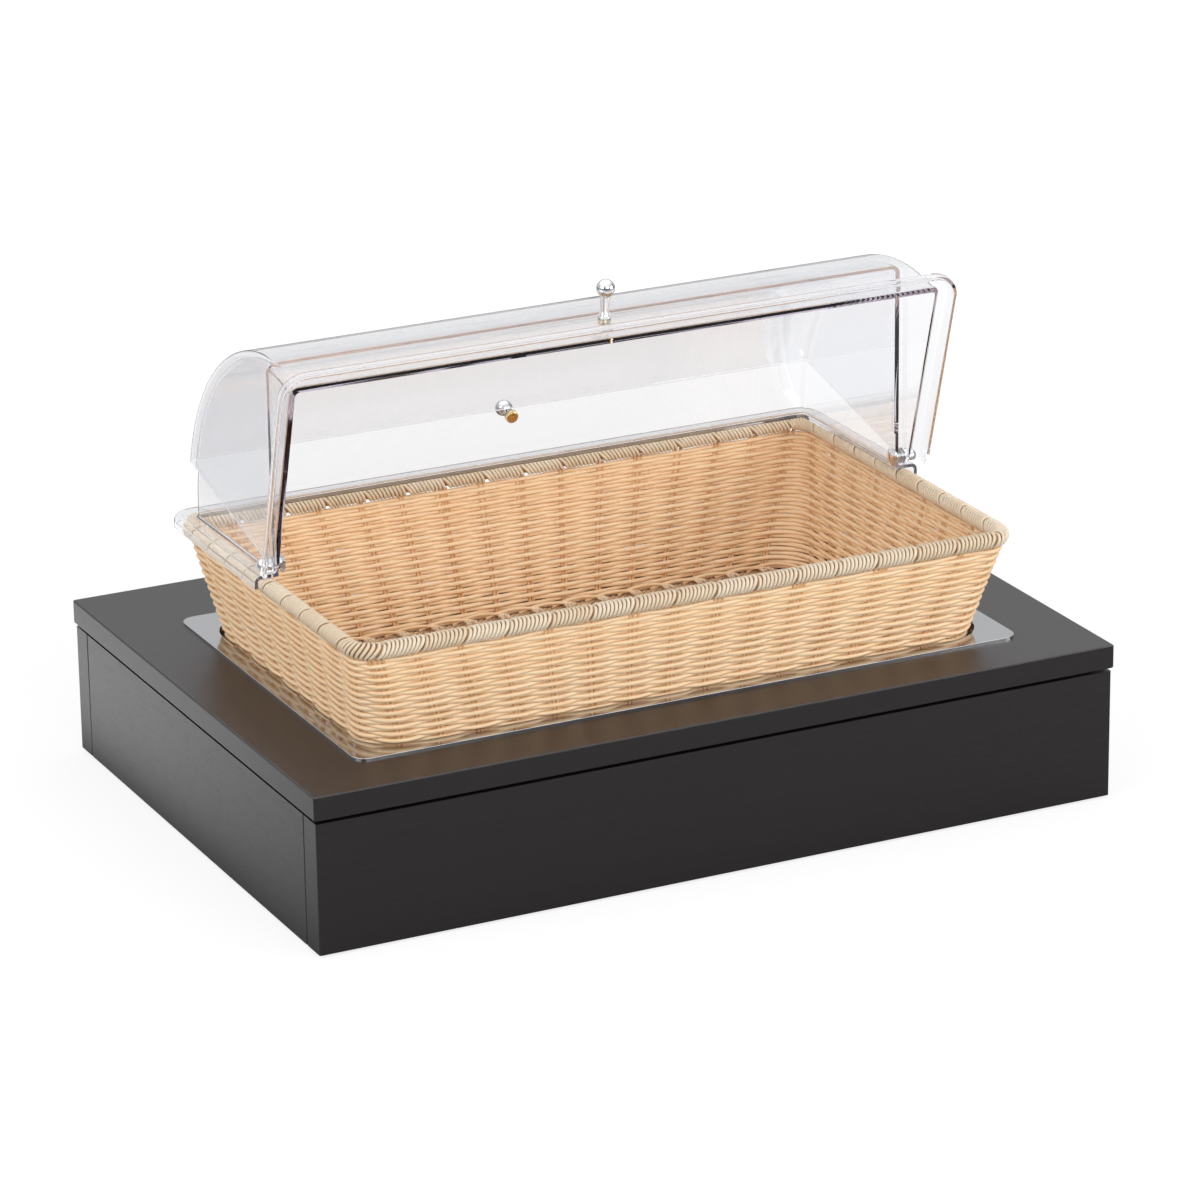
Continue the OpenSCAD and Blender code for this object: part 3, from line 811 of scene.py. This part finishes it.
class BREADBIN_OT_wrap_rim(bpy.types.Operator):
    """Wrap the rim, turn by turn, over its core"""

    bl_idname = "breadbin.wrap_rim"
    bl_label = "Wrap Rim"

    def execute(self, context):
        basket, looks = bin_settings(context)
        rim = BasketWall(basket).head
        centre = Vector((0, BAY_Y, (RIM_LOW.z + RIM_HIGH.z) / 2))
        self.wind(basket, looks, rim, centre)
        self.lay_rod(basket, rim, centre)
        return {"FINISHED"}

    @staticmethod
    def wind(basket, looks, rim, centre):
        chance = random.Random(basket.seed + 1)
        block = rim.length / basket.groups
        turns = int((block - LEAST_GAP) / basket.wrap_pitch)
        radius = RIM_R - basket.wrap / 2
        course = Course()
        for group in range(basket.groups):
            gap = chance.uniform(*GAP_SHARES) * (block - turns * basket.wrap_pitch)
            pitch = (block - gap) / turns
            middle, facing = rim.walk(basket.first + (group + 0.5) * block)
            across = middle.x / rim.half_x * -facing.y
            lean = chance.uniform(*LEANS) - SIDE_LEAN * across
            for step in range(turns * RIM_STEPS + 1):
                turn = step / RIM_STEPS
                ends = min(turn, turns - turn)
                tucked = radius - TUCK_DEPTH * max(0.0, 1 - ends / TUCK_TURNS)
                slope = lean + LAST_LEAN * (turn / turns) ** LEAN_POWER
                angle = 2 * math.pi * turn
                high = math.cos(angle)
                run = basket.first + group * block + gap / 2 + turn * pitch
                point, out = rim.walk(run + slope * high * radius)
                swing = UP * high + out * math.sin(angle)
                course.add(centre + point + swing * tucked, outward=out, lane=group)
        finish = make_cane("rim cane", looks.rim_light, looks.rim_deep, 0.34)
        course.lay(
            "basket_rim_strand",
            weaving_tree("rim winding", finish),
            "basket_rim_wrap",
            slot="rim_cane",
            Strand_Diameter=basket.wrap,
            Sides=6,
            Closed=False,
        )

    @staticmethod
    def lay_rod(basket, rim, centre):
        count = basket.groups * basket.steps
        course = Course()
        for step in range(count):
            point, out = rim.walk(step * rim.length / count)
            course.add(point + centre, outward=out, lane=0)
        # Painted shade: the dark rod stands in for the shade between the wrap's turns.
        finish = make_cane("core cane", CORE_PAINTED_SHADE_LIGHT, CORE_PAINTED_SHADE_DEEP, 0.6)
        course.lay(
            "basket_rim_rod",
            weaving_tree("rim rod", finish),
            "basket_rim_core",
            slot="rim_cane",
            Strand_Diameter=2 * (RIM_R - basket.wrap) + CORE_BITE,
            Sides=16,
        )


FLOOR_INSET = 0.003  # From the walls' foot to the floor's edge
FLOOR_LIFT = 0.0003  # From the CAD floor's middle to the weave's
FLOOR_PITCH = 0.003  # From row to row
FLOOR_STRAND, FLOOR_DEPTH, FLOOR_WAVER = 0.0024, 0.0012, 0.0005
FLOOR_STEPS = 6  # Points from one spoke to the next
SPOKE_STRAND = 0.0022
END_SPACE = 0.012  # Kept free of spokes at either end of the floor
ARC_STRAND, ARC_STEPS = 0.0026, 12
ARC_BACK, ARC_REACH = 0.2, 1.65  # Where an arc starts and how far it goes, in groups
ARC_LAP = 0.0013  # Lets an arc's end pass behind the next one's start
ARC_LIFT = 0.0016  # From the floor up to an arc's ends
ARC_RISES = (0.0036, 0.0050)  # Least and most that an arc rises
ARC_POWER = 0.8  # Below 1, an arc is fuller than a half wave
TUFT_STRAND, TUFT_LIFT, TUFT_DROP = 0.0024, 0.0030, 0.0012
TUFT_BACKS, TUFT_REACHES = (0.0034, 0.0042), (0.005, 0.008)  # Least and most
TUFT_TURN = 0.2  # Slope to either side
TWIST_STRAND = 0.0024
TWIST_SINK = 0.00122  # Half a strand and a little, which keeps it in the hoop's box
TWIST_STRANDS, TWIST_LENGTH, TWIST_STEPS = 3, 0.016, 8


class BasketFloor:
    """The outline of the woven floor, inside the walls' foot."""

    def __init__(self, foot):
        self.half_x = foot.half_x - FLOOR_INSET
        self.half_y = foot.half_y - FLOOR_INSET
        self.corner = foot.corner - FLOOR_INSET
        height = (FLOOR_LOW.z + FLOOR_HIGH.z) / 2 + FLOOR_LIFT
        self.centre = Vector((0, BAY_Y, height))

    def reach(self, away, across, along):
        """Half of the floor's length or width on a line away from its middle."""
        over = abs(away) - (across - self.corner)
        if over <= 0:
            return along
        return along - self.corner + math.sqrt(max(self.corner**2 - over**2, 0.0))


class BREADBIN_OT_weave_floor(bpy.types.Operator):
    """Weave the basket's floor between its spokes, and twist the foot border"""

    bl_idname = "breadbin.weave_floor"
    bl_label = "Weave Floor"

    def execute(self, context):
        basket, looks = bin_settings(context)
        wall = BasketWall(basket)
        floor = BasketFloor(wall.foot)
        block = wall.gauge.length / basket.groups
        finish = make_cane("floor cane", looks.cane_light, looks.cane_deep, 0.4)
        # The turned-in tufts take the rim's paler colours: painted light falling on
        # them from above.
        pale = make_cane("cut cane", looks.rim_light, looks.rim_deep, 0.45)
        self.weave_rows(basket, floor, block, finish)
        chance = random.Random(basket.seed + 3)
        self.lay_spokes(basket, floor, block, finish, chance)
        self.bend_arcs(basket, wall, block, finish, chance)
        self.turn_tufts_in(basket, wall, block, pale, chance)
        self.twist_border(basket, finish)
        return {"FINISHED"}

    @staticmethod
    def weave_rows(basket, floor, block, finish):
        rows = 2 * int(floor.half_y / FLOOR_PITCH) - 1
        course = Course()
        for row in range(rows):
            y = (row - (rows - 1) / 2) * FLOOR_PITCH
            edge = floor.reach(y, floor.half_y, floor.half_x)
            steps = int(edge / (block / FLOOR_STEPS))
            for step in range(-steps, steps + 1):
                x = step * block / FLOOR_STEPS
                point = floor.centre + Vector((x, y, 0))
                station = (x - basket.first) / block
                course.add(point, outward=UP, station=station, lane=row)
        course.lay(
            "basket_floor_weave",
            weaving_tree("woven floor", finish),
            "basket_floor",
            Strand_Diameter=FLOOR_STRAND,
            Weave_Depth=FLOOR_DEPTH,
            Waver=FLOOR_WAVER,
            Sides=6,
            Closed=False,
            Seed=basket.seed + 2,
        )

    @staticmethod
    def lay_spokes(basket, floor, block, finish, chance):
        course = Course()
        spokes = int((floor.half_x - END_SPACE) / block)
        for spoke in range(-spokes - 1, spokes + 1):
            for place in PAIR:
                x = basket.first + spoke * block + place * basket.stake_gap
                end = floor.reach(x, floor.half_x, floor.half_y)
                course.add(
                    floor.centre + Vector((x, -end, 0)),
                    axis=Vector((0, 2 * end, 0)),
                    tone=chance.random(),
                )
        course.lay(
            "basket_spokes",
            sticks_tree("floor spokes", finish),
            Strand_Diameter=SPOKE_STRAND,
            Sides=6,
        )

    @staticmethod
    def bend_arcs(basket, wall, block, finish, chance):
        course = Course()
        for group in range(basket.groups):
            rise = chance.uniform(*ARC_RISES)
            for step in range(ARC_STEPS + 1):
                t = step / ARC_STEPS
                run = basket.first + (group - ARC_BACK + ARC_REACH * t) * block
                point, out, _ = wall.at(run, 0.0)
                point -= out * (basket.depth + basket.strand + ARC_LAP * (1 - 2 * t))
                bow = rise * math.sin(math.pi * t) ** ARC_POWER
                point.z = FLOOR_HIGH.z + ARC_LIFT + bow
                course.add(point, outward=UP, lane=group)
        course.lay(
            "basket_foot_arcs",
            weaving_tree("foot arcs", finish),
            Strand_Diameter=ARC_STRAND,
            Sides=7,
            Closed=False,
        )

    @staticmethod
    def turn_tufts_in(basket, wall, block, pale, chance):
        course = Course()
        for group in range(basket.groups):
            for place in (-1, 0, 1):
                run = basket.first + group * block + place * basket.stake_gap
                point, out, along = wall.at(run, 0.0)
                point -= out * (basket.depth + chance.uniform(*TUFT_BACKS))
                point.z = FLOOR_HIGH.z + TUFT_LIFT
                turn = out + along * chance.uniform(-TUFT_TURN, TUFT_TURN)
                axis = -turn * chance.uniform(*TUFT_REACHES) - UP * TUFT_DROP
                course.add(point, axis=axis, tone=chance.random())
        # The tufts' pale material is painted top light.
        course.lay(
            "basket_foot_tufts",
            sticks_tree("turned-in stakes", pale),
            Strand_Diameter=TUFT_STRAND,
            Sides=7,
        )

    @staticmethod
    def twist_border(basket, finish):
        hoop_r = (HOOP_HIGH.z - HOOP_LOW.z) / 2
        border = outline(HOOP_LOW, HOOP_HIGH, basket.foot_corner, hoop_r)
        middle = Vector((0, BAY_Y, (HOOP_LOW.z + HOOP_HIGH.z) / 2))
        count = round(border.length / TWIST_LENGTH) * TWIST_STEPS
        course = Course()
        for strand in range(TWIST_STRANDS):
            for step in range(count):
                point, out = border.walk(step * border.length / count)
                turn = 2 * math.pi * (step / TWIST_STEPS + strand / TWIST_STRANDS)
                swing = out * math.cos(turn) + UP * math.sin(turn)
                place = middle + point + swing * (hoop_r - TWIST_SINK)
                course.add(place, outward=out, lane=strand)
        course.lay(
            "basket_foot_twist",
            weaving_tree("foot twist", finish),
            "basket_hoop",
            Strand_Diameter=TWIST_STRAND,
            Sides=6,
        )


def nodes_named(starts="", ends=""):
    """The CAD nodes with one of these starts and one of these ends."""
    return [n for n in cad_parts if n.startswith(starts) and n.endswith(ends)]


class BREADBIN_OT_finish_box(bpy.types.Operator):
    """Finish the wooden box with its feet and fixings"""

    bl_idname = "breadbin.finish_box"
    bl_label = "Finish Box"

    def execute(self, context):
        looks = context.scene.bread_bin_looks
        boards = ("panel", "batten")
        long_ways = nodes_named(("front_", "back_"), boards) + ["top_board"]
        cross_ways = nodes_named(("left_", "right_"), boards)
        for way, along, nodes in (
            ("long", "X", long_ways),
            ("cross", "Y", cross_ways),
            ("upright", "Z", nodes_named("corner_block")),
        ):
            dress(nodes, make_dark_wood(f"dark wood, {way}", along, looks))
        rubber = make_plain(
            "foot rubber", (0.035, 0.034, 0.034), (0.02, 0.02, 0.02), 0.75, 0.0006
        )
        dress(nodes_named("foot_"), rubber)
        beech = make_plain(
            "raw beech", (0.66, 0.48, 0.30), (0.52, 0.35, 0.20), 0.65, 0.0009
        )
        dress(["panel_dowels"], beech)
        zinc = make_bright_metal("zinc", (0.62, 0.63, 0.64), 0.3)
        dress(["batten_screws", "board_screws"], zinc)
        return {"FINISHED"}


class BREADBIN_OT_finish_insert(bpy.types.Operator):
    """Finish the stainless insert"""

    bl_idname = "breadbin.finish_insert"
    bl_label = "Finish Insert"

    def execute(self, context):
        looks = context.scene.bread_bin_looks
        dress(["steel_insert"], make_brushed_steel("brushed steel", looks))
        return {"FINISHED"}


PLATE_LIFT = 0.00004  # From the CAD flange to the plate on it
PLATE_BEVEL = 0.0002  # Round the plate's outer edge
LIP_GAUGE, LIP_DROP = 0.0006, 0.003  # The lip that turns down round the mouth
LIP_ROUND = 0.0014  # Where its rounding starts, back and down
LIP_BACK, LIP_DOWN = 0.0004, 0.0005  # A point on that rounding
CORNER_STEPS = 12  # Points round one corner
CREASE = math.radians(15)  # Edges sharper than this stay sharp


class BREADBIN_OT_lay_plate(bpy.types.Operator):
    """Lay the insert's flat steel plate, its mouth close round the basket"""

    bl_idname = "breadbin.lay_plate"
    bl_label = "Lay Plate"

    def execute(self, context):
        basket, looks = bin_settings(context)
        mesh = bpy.data.meshes.new("insert_plate")
        build = bmesh.new()
        self.skin(build, self.section(basket))
        build.to_mesh(mesh)
        build.free()
        mesh.shade_smooth()
        mesh.set_sharp_from_angle(angle=CREASE)
        mesh.materials.append(make_brushed_steel("plate steel", looks))
        hand_over(new_object("insert_plate", mesh), "insert", "insert_steel")
        return {"FINISHED"}

    @staticmethod
    def section(basket):
        """The loops that the plate's section runs through, and their heights."""
        under = INSERT_HIGH.z + PLATE_LIFT
        top = under + basket.plate_gauge
        mouth_gap = basket.depth + basket.strand / 2 + basket.plate_gap
        wall = BasketWall(basket)

        def edge(inset):
            return outline(INSERT_LOW, INSERT_HIGH, basket.plate_corner, inset)

        def mouth(set_back):
            up = (top - wall.foot_z) / (wall.head_z - wall.foot_z)
            return wall.between(up, mouth_gap + set_back)

        return (
            (edge(PLATE_BEVEL), top),
            (edge(0.0), top - PLATE_BEVEL),
            (edge(0.0), under),
            (mouth(LIP_GAUGE), under),
            (mouth(LIP_GAUGE), under - LIP_DROP),
            (mouth(0.0), under - LIP_DROP),
            (mouth(0.0), top - LIP_ROUND),
            (mouth(LIP_BACK), top - LIP_DOWN),
            (mouth(LIP_ROUND), top),
        )

    @staticmethod
    def skin(build, section):
        """Closes a skin round the loops, in their order."""
        stops = [
            (stretch, step / CORNER_STEPS)
            for stretch in range(len(section[0][0].runs))
            for step in range(CORNER_STEPS if stretch % 2 else 1)
        ]
        centre = Vector((0, BAY_Y, 0))
        rings = [
            [build.verts.new(loop.at(*stop)[0] + centre + UP * z) for stop in stops]
            for loop, z in section
        ]
        for here, there in zip(rings, rings[1:] + rings[:1]):
            for i in range(len(stops)):
                j = (i + 1) % len(stops)
                build.faces.new((here[i], here[j], there[j], there[i]))
        bmesh.ops.recalc_face_normals(build, faces=build.faces)


class BREADBIN_OT_finish_cover(bpy.types.Operator):
    """Finish the clear cover, its hinges and its knobs"""

    bl_idname = "breadbin.finish_cover"
    bl_label = "Finish Cover"

    def execute(self, context):
        looks = context.scene.bread_bin_looks
        clear = make_clear_plastic(
            "clear plastic", looks.clear_tint, looks.clear_murk, looks.murk_density
        )
        dress(["rear_shell", "front_flap"], clear)
        soft = make_clear_plastic(
            "washer plastic", (0.93, 0.93, 0.92), (0.7, 0.7, 0.7), 90.0, 0.3
        )
        dress(nodes_named(ends=("hinge_washer", "knob_washer")), soft)
        chrome = make_bright_metal("polished chrome", (0.78, 0.79, 0.81), 0.05)
        hardware = ("hinge_screw", "hinge_spacer", "cap_washer", "cap_nut")
        dress(nodes_named(ends=hardware) + ["rear_stop_knob", "front_knob"], chrome)
        brass = make_bright_metal("brass plate", (0.80, 0.58, 0.28), 0.2)
        dress(["rear_knob_screw", "front_knob_screw"], brass)
        return {"FINISHED"}


# Each lamp's name, place, size and watts
LAMPS = (
    ("key softbox", (2.0, -1.7, 0.9), (1.6, 1.2), 27.0),
    ("front softbox", (-0.1, -2.6, 1.45), (2.0, 1.0), 19.0),
    ("left softbox", (-2.0, -0.6, 1.25), (1.6, 1.2), 17.0),
    ("top softbox", (0.0, 0.6, 2.3), (2.6, 1.8), 4.0),
)
LAMP_AIM = Vector((0, 0, 0.16))
SHEET_BOUNCES = 40  # What light needs that runs inside a clear sheet
MATT_BOUNCES = 6
FLOOR_REACH = 14.0
FLOOR_MATT = 0.72  # The floor as a light on the object
FLOOR_SEEN, GLOW_NEAR, GLOW_FAR = 0.27, 0.775, 0.88  # Seen: its colour and glow
FLOOR_MIRRORED, PATCH_GLOW = 0.37, 1.2
SKY_BASE, SKY_HIGH, SKY_BACK = 0.2, 1.4, 0.48  # Mirrored: all round, above, behind
CAMERA_PLACE = (-1.68740, -3.46775, 1.53043)
YAW, PITCH, ROLL = 0.4556, 0.3467, -0.0130
SENSOR_WIDTH = 36.0


class BREADBIN_OT_set_stage(bpy.types.Operator):
    """Set the floor, the lamps, the surroundings and the camera"""

    bl_idname = "breadbin.set_stage"
    bl_label = "Set Stage"

    def execute(self, context):
        scene, stage = context.scene, context.scene.bread_bin_stage
        scene.view_settings.view_transform = "Standard"
        for limit in ("max_bounces", "glossy_bounces", "transmission_bounces"):
            setattr(scene.cycles, limit, SHEET_BOUNCES)
        scene.cycles.diffuse_bounces = MATT_BOUNCES
        self.lay_floor()
        self.set_surroundings(scene, stage)
        for lamp in LAMPS:
            self.hang_lamp(*lamp)
        self.place_camera(scene, stage)
        return {"FINISHED"}

    @staticmethod
    def lay_floor():
        """A matt floor that the camera sees as white, with the object's shadow.

        In the object's mirrored rays it is darker, with one bright patch that
        gives the left panel its soft gradient.
        """
        mesh = bpy.data.meshes.new("floor")
        far = FLOOR_REACH
        corners = [(-far, -far, 0), (far, -far, 0), (far, far, 0), (-far, far, 0)]
        mesh.from_pydata(corners, [], [range(4)])
        desk = Finish("pale floor")

        def matt(level):
            return desk.node(
                "ShaderNodeBsdfDiffuse", None, {"Color": (level, level, level, 1)}
            )

        def lit(level, strength):
            glow = desk.node("ShaderNodeEmission", None, {"Strength": strength})
            return desk.node("ShaderNodeAddShader", None, {0: matt(level), 1: glow})

        across = desk.node("ShaderNodeSeparateXYZ", None, {0: desk.place}, out="X")
        patch = across.ramp(-0.30, -0.36) * across.ramp(-0.56, -0.42)
        patch = patch * across.other("Y").ramp(-0.4, 0.5)
        glow = desk.place.distance().ramp(0.5, 1.5, GLOW_NEAR, GLOW_FAR)
        seen = lit(FLOOR_SEEN, glow)
        shiny = lit(FLOOR_MIRRORED, patch * PATCH_GLOW)
        mirrored = desk.either(desk.rays("Is Glossy Ray"), matt(FLOOR_MATT), shiny)
        direct = desk.rays("Is Camera Ray", "Is Transmission Ray")
        mesh.materials.append(desk.lay(desk.either(direct, mirrored, seen)))
        new_object("floor", mesh)

    @staticmethod
    def set_surroundings(scene, stage):
        """A white world, plain as a light and graded in mirrored rays."""
        world = bpy.data.worlds.new("studio")
        world.use_nodes = True
        world.node_tree.nodes.clear()
        desk = Desk(world.node_tree)
        direct = desk.rays("Is Camera Ray", "Is Transmission Ray")
        mirrored = desk.rays("Is Glossy Ray")
        ahead = desk.node("ShaderNodeTexCoord", out="Generated")
        high = desk.node("ShaderNodeSeparateXYZ", None, {0: ahead}, out="Z")
        back = high.other("Y")
        above, behind = high.ramp(0.3, 0.95) * SKY_HIGH, back.ramp(-0.2, 0.5) * SKY_BACK
        shine = SKY_BASE + above + behind
        around = mirrored * shine * stage.mirror + (1 - mirrored) * stage.fill
        strength = direct + (1 - direct) * around
        sky = desk.node(
            "ShaderNodeBackground", None, {"Color": (1, 1, 1, 1), "Strength": strength}
        )
        desk.node("ShaderNodeOutputWorld", None, {"Surface": sky})
        scene.world = world

    @staticmethod
    def hang_lamp(name, place, size, watts):
        light = bpy.data.lights.new(name, "AREA")
        light.shape = "RECTANGLE"
        light.size, light.size_y = size
        light.energy = watts
        lamp = new_object(name, light)
        lamp.location = place
        aim = LAMP_AIM - Vector(place)
        lamp.rotation_euler = aim.to_track_quat("-Z", "Y").to_euler()

    @staticmethod
    def place_camera(scene, stage):
        """Stands the camera where the photograph's was."""
        level = math.cos(PITCH)
        ahead = Vector((math.sin(YAW) * level, math.cos(YAW) * level, -math.sin(PITCH)))
        right = Vector((math.cos(YAW), -math.sin(YAW), 0))
        up = right.cross(ahead)
        across = right * math.cos(ROLL) + up * math.sin(ROLL)
        over = up * math.cos(ROLL) - right * math.sin(ROLL)
        data = bpy.data.cameras.new("photo view")
        data.lens, data.sensor_width = stage.lens, SENSOR_WIDTH
        camera = new_object("photo view", data)
        turn = Matrix((across, over, -ahead)).transposed()
        camera.matrix_world = Matrix.Translation(CAMERA_PLACE) @ turn.to_4x4()
        scene.camera = camera


OPERATORS = (
    BREADBIN_OT_set_stage,
    BREADBIN_OT_finish_box,
    BREADBIN_OT_finish_insert,
    BREADBIN_OT_lay_plate,
    BREADBIN_OT_finish_cover,
    BREADBIN_OT_weave_walls,
    BREADBIN_OT_set_stakes,
    BREADBIN_OT_wrap_rim,
    BREADBIN_OT_weave_floor,
)


class BREADBIN_PT_panel(bpy.types.Panel):
    """Lists the steps that dress the bread display bin"""

    bl_idname = "BREADBIN_PT_panel"
    bl_label = "Bread Bin"
    bl_space_type = "VIEW_3D"
    bl_region_type = "UI"
    bl_category = "Bread Bin"

    def draw(self, context):
        for operator in OPERATORS:
            self.layout.operator(operator.bl_idname)


def register():
    for kind in (*SETTINGS.values(), *OPERATORS, BREADBIN_PT_panel):
        bpy.utils.register_class(kind)
    for name, kind in SETTINGS.items():
        setattr(bpy.types.Scene, name, PointerProperty(type=kind))


def unregister():
    for name in SETTINGS:
        delattr(bpy.types.Scene, name)
    kinds = (*SETTINGS.values(), *OPERATORS, BREADBIN_PT_panel)
    for kind in reversed(kinds):
        bpy.utils.unregister_class(kind)


def main():
    register()
    for operator in OPERATORS:
        kind, name = operator.bl_idname.split(".")
        getattr(getattr(bpy.ops, kind), name)()


if __name__ == "__main__":
    main()
